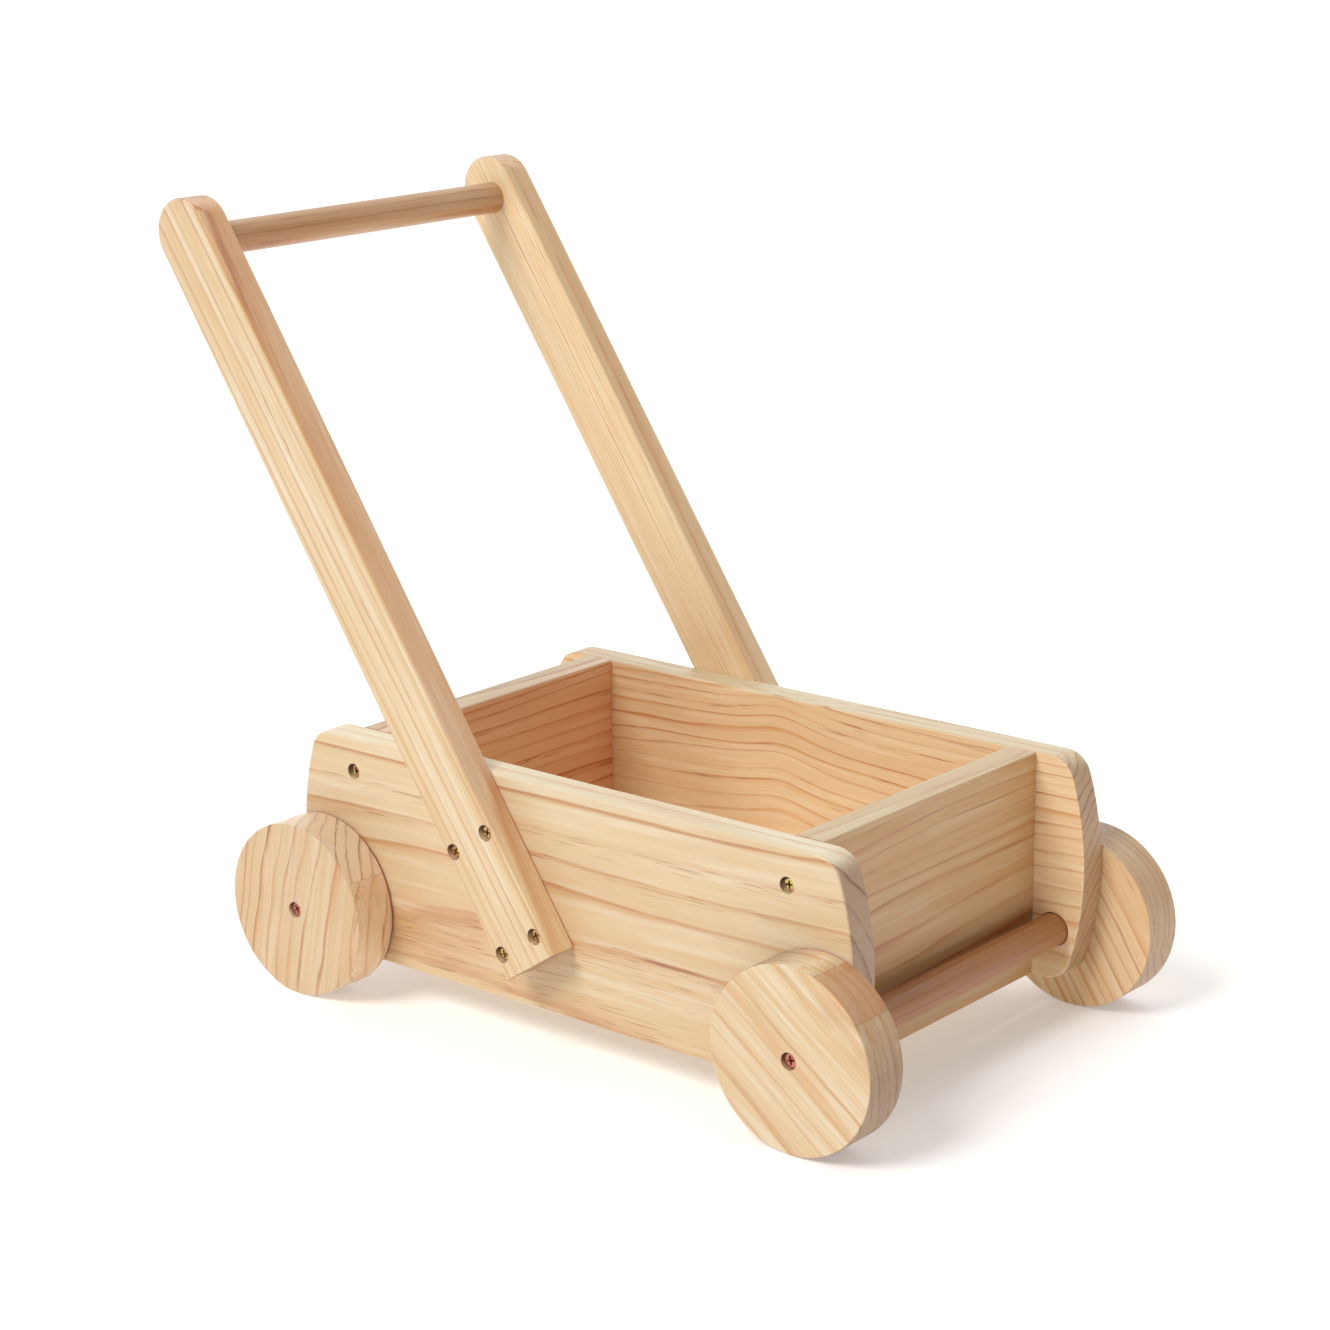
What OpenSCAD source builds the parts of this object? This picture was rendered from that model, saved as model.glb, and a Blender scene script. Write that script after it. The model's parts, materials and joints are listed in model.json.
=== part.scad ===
// Push along truck: a toddler's pine cart. An open box stands on two turning
// axles, and a tall handle leans back from its sides. Millimetres, +Z is up and
// +X is the front. The origin is on the ground, under the middle of the truck.

/* [Boards] */
// Thickness of the panels and the handle's arms
board_t = 18; // [15:0.5:22]
// Width across the outer faces of the two side panels
box_w = 222; // [180:2:280]
// Length across the outer faces of the two end panels
box_len = 315; // [280:1:320]
// Height of the four panels
panel_h = 125; // [110:1:150]

/* [Side panels] */
// Length of a side panel from one bowed end to the other
side_len = 378; // [370:1:400]
// Radius of the shallow curve of each end
end_curve_r = 170; // [130:5:300]
// Radius of the four corners
corner_r = 15.5; // [8:0.5:20]

/* [Floor] */
// Thickness of the floor sheet
floor_t = 6; // [4:0.5:7]
// Height of the floor's underside above the panels' lower edges
floor_up = 8; // [5:0.5:9]
// Depth of the groove that holds the floor in each panel
groove_depth = 6; // [4:0.5:8]

/* [Handle] */
// Length of an arm from its square foot to its round tip
arm_len = 452; // [380:1:500]
// Width of an arm
arm_w = 38; // [34:1:45]
// Angle of the arms from upright, leaning to the back
arm_lean = 33.6; // [20:0.1:40]
// Height of the middle of an arm's foot above the panels' lower edges
foot_up = 30.8; // [25:0.1:36]
// How far the middle of an arm's foot is behind the middle of the box
foot_back = 6.3; // [0:0.1:12]
// Diameter of the grip bar
bar_d = 18; // [14:1:24]
// Distance from the arms' tips to the middle of the bar
bar_down = 25; // [20:1:40]
// Depth of the bar's socket in each arm
socket_depth = 9; // [5:0.5:14]

/* [Wheels and axles] */
// Diameter of a wheel
wheel_d = 97.5; // [85:0.5:110]
// Thickness of a wheel
wheel_t = 26.5; // [20:0.5:35]
// Gap between a wheel and its side panel
wheel_gap = 0.8; // [0.5:0.1:3]
// Distance between the two axles
wheel_base = 341; // [338:1:350]
// Height of the axles above the panels' lower edges
axle_up = 28.5; // [25:0.5:33]
// Diameter of an axle dowel
axle_d = 18; // [14:0.5:19]
// Gap all round an axle in its holes
axle_play = 0.5; // [0.3:0.1:1]

/* [Screws] */
// Head diameter of the screws in the arms and corners
screw_head_d = 7; // [6:0.1:8]
// Diameter of the pockets that those heads stand in
screw_pocket_d = 8.6; // [8.2:0.1:9.5]
// Depth of those heads below the wood
screw_sink = 2; // [1:0.1:3]
// Length of an arm screw
arm_screw_len = 30; // [26:1:31]
// Length of a corner screw
corner_screw_len = 40; // [32:1:50]
// Head diameter of a wheel screw
wheel_head_d = 8.2; // [7.5:0.1:8.6]
// Diameter of the pocket that it stands in
wheel_pocket_d = 8.9; // [8.8:0.1:12]
// Depth of a wheel screw's head below the wheel's face
wheel_sink = 1.8; // [1:0.1:6]
// Length of a wheel screw
wheel_screw_len = 50; // [42:1:60]
// Distance of the corner screws from the panels' upper and lower edges
corner_screw_in = 19.5; // [17.5:0.5:21]
// Distance of the arm screws from the arm's centre line
arm_screw_side = 13.7; // [12:0.1:14]
// Height of the lower arm screws above the foot, along the arm
arm_screw_low = 13; // [10:0.1:20]
// Height of the upper arm screws above the foot, along the arm
arm_screw_high = 72.3; // [50:0.1:76]

/* [Hidden] */
$fn = 96;
eps = 1; // how far a cutter stands past the face that it cuts

half_w = box_w / 2;
inner_w = box_w - 2 * board_t;
inner_len = box_len - 2 * board_t;
wheel_r = wheel_d / 2;
panel_z = wheel_r - axle_up;
top_z = panel_z + panel_h;
mid_z = panel_z + panel_h / 2;
floor_z = panel_z + floor_up;
axle_half = wheel_base / 2;
axle_len = box_w + 2 * wheel_gap;
bar_up = arm_len - bar_down;
tip_up = arm_len - arm_w / 2;

// The truck reaches from the arms' tips to the front of the front wheels, and
// the middle of the box stands off from the middle of that length.
front_reach = axle_half + wheel_r;
rear_reach = foot_back + tip_up * sin(arm_lean) + arm_w / 2;
box_x = (rear_reach - front_reach) / 2;
foot_x = box_x - foot_back;
foot_z = panel_z + foot_up;

// Clearances: glued dowel, screw thread in its pilot hole, floor in its groove
glue_gap = 0.05;
pilot_gap = 0.05;
groove_gap = 0.2;

// Screws: thread and driver recess
screw_d = 4;
wheel_screw_d = 5;
thread_pitch = 2.4;
thread_depth = 0.5;
plain_share = 0.4; // how much of a screw's length is head and plain shank
head_rim = 0.7;
slot_share = 0.56; // length of the driver's cross, as a share of the head
slot_w = 1.1;
slot_depth = 2.1;

// Where the screws stand: along a side panel, and along and across an arm
corner_xs = [box_len / 2 - board_t / 2, -box_len / 2 + board_t / 2];
corner_zs = [panel_z + corner_screw_in, top_z - corner_screw_in];
arm_screw_xs = [-arm_screw_side, arm_screw_side];
arm_screw_zs = [arm_screw_low, arm_screw_high];

// ---- Helpers ----

// Turns a shape so that its +Z looks out of the truck's right side, to -Y
module face_right() rotate([90, 0, 0]) children();

// The same shape on the left side
module on_left() mirror([0, 1, 0]) children();

// Stands its children in an arm's own frame: the foot's middle is the origin,
// and +Z runs up the arm
module arm_frame() translate([foot_x, 0, foot_z]) rotate([0, -arm_lean, 0]) children();

// Outline of a thread from start down to the tip, as [radius, height] points
function thread_points(r, start, length) = [
    for (i = [0 : floor((length - start - r * 2) / thread_pitch) - 1])
        let (z = -start - i * thread_pitch)
        each [[r - thread_depth, z], [r, z - thread_pitch / 2]]
];

// A flat-headed wood screw with its head's top at the origin and its tip down -Z
module wood_screw(length, head_d, d) {
    head_h = head_rim + (head_d - d) / 2;
    start = length * plain_share;
    difference() {
        rotate_extrude()
            polygon(concat(
                [[0, 0], [head_d / 2, 0], [head_d / 2, -head_rim],
                 [d / 2 - thread_depth, -head_h - thread_depth]],
                thread_points(d / 2, start, length),
                [[d / 2 - thread_depth, -length + d], [0, -length]]
            ));
        for (a = [0, 90])
            rotate([0, 0, a])
                translate([0, 0, eps / 2 - slot_depth / 2])
                    cube([head_d * slot_share, slot_w, slot_depth + eps], center = true);
    }
}

// The hole that such a screw stands in: a round pocket that rises sink above
// the head, a seat under the head and a pilot for the thread
module screw_hole(length, head_d, d, pocket_d, sink) {
    head_h = head_rim + (head_d - d) / 2;
    hole_r = d / 2 + pilot_gap;
    rotate_extrude()
        polygon([
            [0, sink + eps], [pocket_d / 2, sink + eps], [pocket_d / 2, -head_rim],
            [head_d / 2 + pilot_gap, -head_rim], [hole_r, -head_h],
            [hole_r, -length + d], [0, -length - pilot_gap]
        ]);
}

// Puts its children at each of a corner's two screws, on the outer right face
module at_corner_screws(x)
    for (z = corner_zs)
        translate([box_x + x, -half_w + screw_sink, z]) face_right() children();

// Puts its children at each of an arm's four screws, on its outer right face
module at_arm_screws()
    arm_frame()
        for (x = arm_screw_xs, z = arm_screw_zs)
            translate([x, -half_w - board_t + screw_sink, z]) face_right() children();

module corner_hole()
    screw_hole(corner_screw_len, screw_head_d, screw_d, screw_pocket_d, screw_sink);

module arm_hole()
    screw_hole(arm_screw_len, screw_head_d, screw_d, screw_pocket_d, screw_sink);

// The floor sheet, grown by a gap at its edges and top where it is a cutter
module floor_sheet(gap) {
    l = inner_len + 2 * groove_depth;
    w = inner_w + 2 * groove_depth;
    translate([box_x - l / 2 - gap, -w / 2 - gap, floor_z])
        cube([l + 2 * gap, w + 2 * gap, floor_t + gap]);
}

// ---- Panels ----

// Outline of a side panel about its middle. Each end is one shallow arc, and
// the corner circles lie inside that arc and touch it.
module side_outline() {
    arc_x = side_len / 2 - end_curve_r;
    corner_z = panel_h / 2 - corner_r;
    corner_x = arc_x + sqrt(pow(end_curve_r - corner_r, 2) - corner_z * corner_z);
    touch = end_curve_r / (end_curve_r - corner_r);
    touch_x = arc_x + (corner_x - arc_x) * touch;
    touch_z = corner_z * touch;
    square([2 * corner_x, panel_h], center = true);
    for (s = [-1, 1]) {
        for (t = [-1, 1]) translate([s * corner_x, t * corner_z]) circle(corner_r);
        intersection() {
            translate([s * arc_x, 0]) circle(end_curve_r, $fn = 360);
            polygon([
                [s * corner_x, corner_z], [s * touch_x, touch_z],
                [s * (touch_x + end_curve_r), touch_z], [s * (touch_x + end_curve_r), -touch_z],
                [s * touch_x, -touch_z], [s * corner_x, -corner_z]
            ]);
        }
    }
}

// The right side panel, with its axle holes, floor groove and screw holes
module side_panel() {
    color("burlywood")
        difference() {
            translate([box_x, -inner_w / 2, mid_z])
                face_right() linear_extrude(board_t) side_outline();
            for (s = [-1, 1])
                translate([box_x + s * axle_half, -inner_w / 2 + eps, wheel_r])
                    face_right() cylinder(h = board_t + 2 * eps, d = axle_d + 2 * axle_play);
            floor_sheet(groove_gap);
            for (x = corner_xs) at_corner_screws(x) corner_hole();
            at_arm_screws() arm_hole();
        }
}

// An end panel, butted between the side panels; s is 1 at the front
module end_panel(s) {
    x = s * (box_len / 2 - board_t / 2);
    color("tan")
        difference() {
            translate([box_x + x - board_t / 2, -inner_w / 2, panel_z])
                cube([board_t, inner_w, panel_h]);
            floor_sheet(groove_gap);
            at_corner_screws(x) corner_hole();
            on_left() at_corner_screws(x) corner_hole();
        }
}

module right_side_panel() side_panel();
module left_side_panel() on_left() side_panel();
module front_panel() end_panel(1);
module rear_panel() end_panel(-1);
module floor_panel() color("wheat") floor_sheet(0);

// ---- Handle ----

// The right arm: a board with a square foot and a round tip
module handle_arm() {
    color("wheat")
        difference() {
            arm_frame()
                translate([0, -half_w, 0])
                    face_right()
                        linear_extrude(board_t) {
                            translate([-arm_w / 2, 0]) square([arm_w, tip_up]);
                            translate([0, tip_up]) circle(arm_w / 2);
                        }
            arm_frame()
                translate([0, -half_w + eps, bar_up])
                    face_right() cylinder(h = socket_depth + eps, d = bar_d + 2 * glue_gap);
            at_arm_screws() arm_hole();
        }
}

module right_handle_arm() handle_arm();
module left_handle_arm() on_left() handle_arm();

module handle_bar() {
    color("peru")
        arm_frame()
            translate([0, 0, bar_up])
                face_right() cylinder(h = box_w + 2 * socket_depth, d = bar_d, center = true);
}

// ---- Wheels and axles ----

// An axle dowel with a pilot hole in each end; s is 1 at the front
module axle(s) {
    color("peru")
        difference() {
            translate([box_x + s * axle_half, 0, wheel_r])
                face_right() cylinder(h = axle_len, d = axle_d, center = true);
            at_wheel_screw(s) wheel_hole();
            on_left() at_wheel_screw(s) wheel_hole();
        }
}

// Puts its children at a right wheel's screw
module at_wheel_screw(s)
    translate([box_x + s * axle_half, -half_w - wheel_gap - wheel_t + wheel_sink, wheel_r])
        face_right() children();

module wheel_hole()
    screw_hole(wheel_screw_len, wheel_head_d, wheel_screw_d, wheel_pocket_d, wheel_sink);

// A right wheel
module wheel(s) {
    color("wheat")
        difference() {
            translate([box_x + s * axle_half, -half_w - wheel_gap, wheel_r])
                face_right() cylinder(h = wheel_t, d = wheel_d, $fn = 180);
            at_wheel_screw(s) wheel_hole();
        }
}

module front_axle() axle(1);
module rear_axle() axle(-1);
module front_right_wheel() wheel(1);
module front_left_wheel() on_left() wheel(1);
module rear_right_wheel() wheel(-1);
module rear_left_wheel() on_left() wheel(-1);

// ---- Screws ----

module wheel_screw(s) {
    color("rosybrown")
        at_wheel_screw(s) wood_screw(wheel_screw_len, wheel_head_d, wheel_screw_d);
}

module arm_screws() {
    color("goldenrod")
        at_arm_screws() wood_screw(arm_screw_len, screw_head_d, screw_d);
}

module corner_screws(x) {
    color("goldenrod")
        at_corner_screws(x) wood_screw(corner_screw_len, screw_head_d, screw_d);
}

module front_right_wheel_screw() wheel_screw(1);
module front_left_wheel_screw() on_left() wheel_screw(1);
module rear_right_wheel_screw() wheel_screw(-1);
module rear_left_wheel_screw() on_left() wheel_screw(-1);
module right_arm_screws() arm_screws();
module left_arm_screws() on_left() arm_screws();
module front_right_corner_screws() corner_screws(corner_xs[0]);
module front_left_corner_screws() on_left() corner_screws(corner_xs[0]);
module rear_right_corner_screws() corner_screws(corner_xs[1]);
module rear_left_corner_screws() on_left() corner_screws(corner_xs[1]);

right_side_panel();
left_side_panel();
front_panel();
rear_panel();
floor_panel();
right_handle_arm();
left_handle_arm();
handle_bar();
front_axle();
rear_axle();
front_right_wheel();
front_left_wheel();
rear_right_wheel();
rear_left_wheel();
front_right_wheel_screw();
front_left_wheel_screw();
rear_right_wheel_screw();
rear_left_wheel_screw();
right_arm_screws();
left_arm_screws();
front_right_corner_screws();
front_left_corner_screws();
rear_right_corner_screws();
rear_left_corner_screws();
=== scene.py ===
# Push along truck: the visible model of a toddler's pine cart. Every board, dowel,
# wheel and screw is meshed here with its rounded edges and holes, and takes its
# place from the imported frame. Metres, +X is the front, +Z is up.
import json
import math
import bmesh
import bpy
from mathutils import Matrix, Vector


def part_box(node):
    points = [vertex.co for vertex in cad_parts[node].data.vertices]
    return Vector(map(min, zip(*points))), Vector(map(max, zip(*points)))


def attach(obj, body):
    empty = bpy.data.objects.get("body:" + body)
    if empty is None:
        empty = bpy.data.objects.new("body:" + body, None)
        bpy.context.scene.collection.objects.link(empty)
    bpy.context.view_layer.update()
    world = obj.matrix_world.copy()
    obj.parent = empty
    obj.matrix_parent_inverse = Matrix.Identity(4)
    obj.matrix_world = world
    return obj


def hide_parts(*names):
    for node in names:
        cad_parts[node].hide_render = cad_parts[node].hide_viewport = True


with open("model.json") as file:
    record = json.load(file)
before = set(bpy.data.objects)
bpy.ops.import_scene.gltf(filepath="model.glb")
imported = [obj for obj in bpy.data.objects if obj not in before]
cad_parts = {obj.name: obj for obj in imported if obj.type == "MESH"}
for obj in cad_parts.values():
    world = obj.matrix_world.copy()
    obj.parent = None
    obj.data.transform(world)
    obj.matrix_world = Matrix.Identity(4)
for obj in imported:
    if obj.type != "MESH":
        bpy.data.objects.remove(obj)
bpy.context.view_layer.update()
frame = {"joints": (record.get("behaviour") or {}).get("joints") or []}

MM = 0.001

# ---- Camera ----
CAMERA_PLACE = (1.0471, -1.2443, 0.6371)
CAMERA_AZIMUTH = math.radians(40.01)
CAMERA_ELEVATION = math.radians(15.61)
CAMERA_ROLL = math.radians(-0.607)
LENS = 84.75
SENSOR = 36

# ---- Light ----
KEY_FROM = (-0.17, -0.66, 0.73)
KEY_STRENGTH = 1.95
KEY_SOFTNESS = math.radians(28)
WORLD_BRIGHT_SIDE = (-0.55, 0.81, 0.15)
WORLD_LIGHT_FROM = (-0.3, 1.0)
WORLD_STRENGTHS = (0.32, 1.25)
WORLD_COLOUR_FROM = (-0.7, 0.3)
WORLD_COLOURS = ((1.0, 0.87, 0.74, 1.0), (1.0, 1.0, 1.0, 1.0))
FLOOR_SIZE = 12
FLOOR_COLOUR = (0.9, 0.9, 0.9, 1)
FLOOR_GLOW = 0.25
FLOOR_ROUGHNESS = 0.9
FLOOR_SPECULAR = 0.1

# ---- Shapes ----
# A name that ends in _R is a radius, and one that ends in _STEPS is how many
# straight stretches an edge or a circle has
END_CURVE_R = 170 * MM
CORNER_R = 15.5 * MM
PANEL_EDGE_R = 2.0 * MM
PANEL_INNER_EDGE_R = 1.2 * MM
ARM_EDGE_R = 1.9 * MM
ARM_BACK_R = 0.4 * MM
SAWN_EDGE_R = 0.3 * MM
END_PANEL_EDGE_R = 1.1 * MM
BUTT_EDGE_R = 0.35 * MM
ARM_W = 38 * MM
ARM_LEAN = math.radians(33.6)
BAR_SOCKET = 9 * MM
GLUE_GAP = 0.05 * MM
BORE_SPARE = 0.2 * MM
CUT_SPARE = 1 * MM
WHEEL_RIM_R = 0.9 * MM
WHEEL_BACK_R = 0.4 * MM
AXLE_HOLE_R = 9.5 * MM
GROOVE_GAP = 0.2 * MM
LIP_R = 0.35 * MM
DOWEL_EDGE = 0.8 * MM
ARC_STEPS = 20
EDGE_STEPS = 5
RIM_STEPS = 6
ROUND_STEPS = 96
WHEEL_STEPS = 160
SCREW_STEPS = 48
SMOOTH_BELOW = math.radians(40)
CORNER_ABOVE = math.radians(30)
TOUCH = 1e-6
POCKET_SLOPES = (0, math.pi / 6, math.pi / 3, math.pi / 2)

# Each kind of screw: the radii of its head, its pocket in the wood and its
# shank, how deep its head is sunk, its length and the half length of its cross
ARM_SCREW = dict(head=3.5, pocket=4.3, shank=2.0, sink=2.0, length=30, cross=2.0)
CORNER_SCREW = dict(ARM_SCREW, length=40)
WHEEL_SCREW = dict(head=4.1, pocket=4.45, shank=2.5, sink=1.8, length=50, cross=2.4)

# Where an arm's screws are: to each side of its middle line, and up from its foot
ARM_SCREW_SIDE = 13.7 * MM
ARM_SCREW_HEIGHTS = (13.0 * MM, 72.3 * MM)

# What all screws share. The thread starts at a part of the length. The cross has
# a part of its half length and half of its arms' width, at its top and its bottom.
HEAD_RIM = 0.7 * MM
HEAD_EDGE = 0.25 * MM
THREAD_PITCH = 2.4 * MM
THREAD_DEPTH = 0.5 * MM
THREAD_FROM = 0.4
CROSS_DEPTH = 1.9 * MM
CROSS_ABOVE = 0.3 * MM
CROSS_TOP = (1.1, 0.6 * MM)
CROSS_BOTTOM = (0.4, 0.35 * MM)

# How far the first screw of a piece is turned, and each further one from the last
FIRST_TURNS = dict(arm=0.3, corner=0.7, front_wheel=0.2, rear_wheel=0.6)
NEXT_TURN = 0.9


# ---- Node trees ----

class Graph:
    """Adds nodes to a tree. Each call returns the new node's output socket."""

    def __init__(self, tree):
        self.tree = tree

    def node(self, kind, **settings):
        new = self.tree.nodes.new(kind)
        for key, value in settings.items():
            setattr(new, key, value)
        return new

    def feed(self, socket, value):
        if isinstance(value, bpy.types.NodeSocket):
            self.tree.links.new(value, socket)
        else:
            socket.default_value = value

    def math(self, operation, *values, clamp=False):
        new = self.node("ShaderNodeMath", operation=operation, use_clamp=clamp)
        for socket, value in zip(new.inputs, values):
            self.feed(socket, value)
        return new.outputs[0]

    def vector(self, operation, *values, out="Vector"):
        new = self.node("ShaderNodeVectorMath", operation=operation)
        for socket, value in zip(new.inputs, values):
            self.feed(socket, value)
        return new.outputs[out]

    def combine(self, *values):
        new = self.node("ShaderNodeCombineXYZ")
        for socket, value in zip(new.inputs, values):
            self.feed(socket, value)
        return new.outputs[0]

    def separate(self, vector):
        new = self.node("ShaderNodeSeparateXYZ")
        self.feed(new.inputs[0], vector)
        return new.outputs[0], new.outputs[1], new.outputs[2]

    def noise(self, vector, detail=2.0, roughness=0.5, out=0):
        new = self.node("ShaderNodeTexNoise")
        self.feed(new.inputs["Vector"], vector)
        self.feed(new.inputs["Scale"], 1.0)
        self.feed(new.inputs["Detail"], detail)
        self.feed(new.inputs["Roughness"], roughness)
        return new.outputs[out]

    def random(self, value, out="Value"):
        new = self.node("ShaderNodeTexWhiteNoise", noise_dimensions="1D")
        self.feed(new.inputs["W"], value)
        return new.outputs[out]

    def step(self, value, low, high, to_low=0.0, to_high=1.0):
        new = self.node("ShaderNodeMapRange", interpolation_type="SMOOTHSTEP")
        names = ("Value", "From Min", "From Max", "To Min", "To Max")
        for key, given in zip(names, (value, low, high, to_low, to_high)):
            self.feed(new.inputs[key], given)
        return new.outputs["Result"]

    def mix(self, factor, a, b, blend="MIX"):
        new = self.node("ShaderNodeMix", data_type="RGBA", blend_type=blend)
        self.feed(new.inputs[0], factor)
        self.feed(new.inputs[6], a)
        self.feed(new.inputs[7], b)
        return new.outputs[2]


def srgb(r, g, b):
    """A display colour of 0 to 255 as linear RGBA."""
    def linear(v):
        v /= 255
        return v / 12.92 if v <= 0.04045 else ((v + 0.055) / 1.055) ** 2.4
    return (linear(r), linear(g), linear(b), 1.0)


# ---- Wood ----

PALE = srgb(234, 208, 168)
EARLY = srgb(243, 229, 204)
TAN = srgb(227, 188, 141)
LATE = srgb(221, 176, 126)
WARM = srgb(238, 215, 200)
RING_LINE = srgb(190, 122, 76)
STREAK = srgb(160, 98, 58)
# Painted shade: the dark line in the gap where a part lies against a panel
GAP_SHADE_COLOUR = srgb(186, 82, 36)
# Painted shade inside the screws' pockets
POCKET_SHADE_COLOUR = srgb(96, 58, 36)
END_GRAIN = srgb(187, 150, 116)
END_LINE = srgb(124, 82, 56)
FRONT_SHADE = (0.72, 0.57, 0.40)
REAR_SHADE = (1.06, 1.0, 0.96)
# Painted shade and warm bounce light on the rear panel's inner face, inside the box
REAR_INNER_SHADE = (1.05, 0.89, 0.87)
DOWEL_SHADE = (0.48, 0.27, 0.13)
BAR_SHADE = (0.67, 0.49, 0.355)
# Painted light and shade on the arms' narrow sides: warmer and darker where bounce light falls, paler
# towards the near arm's foot where it faces the light
NEAR_ARM_SIDE_LIGHT = (1.08, 0.88, 0.79)
NEAR_ARM_FOOT_LIGHT = (1.32, 1.36, 1.42)
FAR_ARM_SIDE_LIGHT = (0.91, 0.80, 0.70)

# How fine each noise in the log is across and along the grain, per metre
BENDS = (9, 2.2)
WAVERS = (60, 7)
WAVES = (11, 17)
FRAYS = (450, 12)
BAND_WIDTHS = (40, 6)
BAND_GRAIN = (620, 7)
BREAKS = (170, 9)
WISPS = (210, 9)
TANS = (140, 7)
FIBRES = (1500, 18)
DASHES = (1100, 42)
TINTS = (30, 5.0)
WIDTH_CHANGES = 0.55
RING_FRAY = 1.1 * MM

# How strongly each layer colours a board, at most
EARLY_AMOUNT = 0.4
STREAKY_EARLY_AMOUNT = 0.5
LINE_AMOUNT = 0.75
FIBRE_AMOUNT = 0.16
DASH_AMOUNT = 0.5
END_AMOUNT = 0.85
END_BAND_AMOUNT = 0.6
END_LINE_AMOUNT = 0.65
JOINT_AMOUNT = 0.25

# How squarely a face looks along the grain where its end grain starts to show and
# is full, the same across the grain for the narrow sides' painted light and shade,
# and half the thickness over which the inner face's painted shade sets in
END_FACING = (0.45, 0.95)
SIDE_FACING = (0.2, 0.9)
INNER_SHADE_FADE = 4 * MM

# The painted shade in the gap beside a panel: where it sets in, where it fades, and how dark it is
GAP_SHADE_FROM = (0.02 * MM, 0.1 * MM)
GAP_SHADE_TO = (0.5 * MM, 1.0 * MM)
GAP_SHADE_AMOUNT = 0.9

# How strong the painted shade in a screw's pocket is at its bottom and its top, and how softly it
# ends
POCKET_SHADE_STRENGTHS = (0.15, 0.9)
POCKET_FADE = 0.2 * MM

# A resin streak's ragged edge: how fine it is across and along the grain, and how deep
RAGS = (900, 60)
RAG_DEPTH = 0.9

# A glued joint's line, where it fades. The board beyond it lies elsewhere in its
# own log, which has its own seed.
JOINT_FADE = (0.05 * MM, 0.3 * MM)
OTHER_SIDE = 0.043
OTHER_DEPTH = 0.031
OTHER_SEED = 7.7

# The oiled surface: smoother on late wood, which stands a little proud with the fibres
WOOD_ROUGHNESS = (0.44, 0.54)
LATE_SMOOTHER = 0.08
OIL_WEIGHT = 0.4
OIL_ROUGHNESS = 0.38
GRAIN_BUMP = 0.1
GRAIN_HEIGHT = 0.08 * MM
LATE_HEIGHT = 0.5
FIBRE_HEIGHT = 0.6


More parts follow.
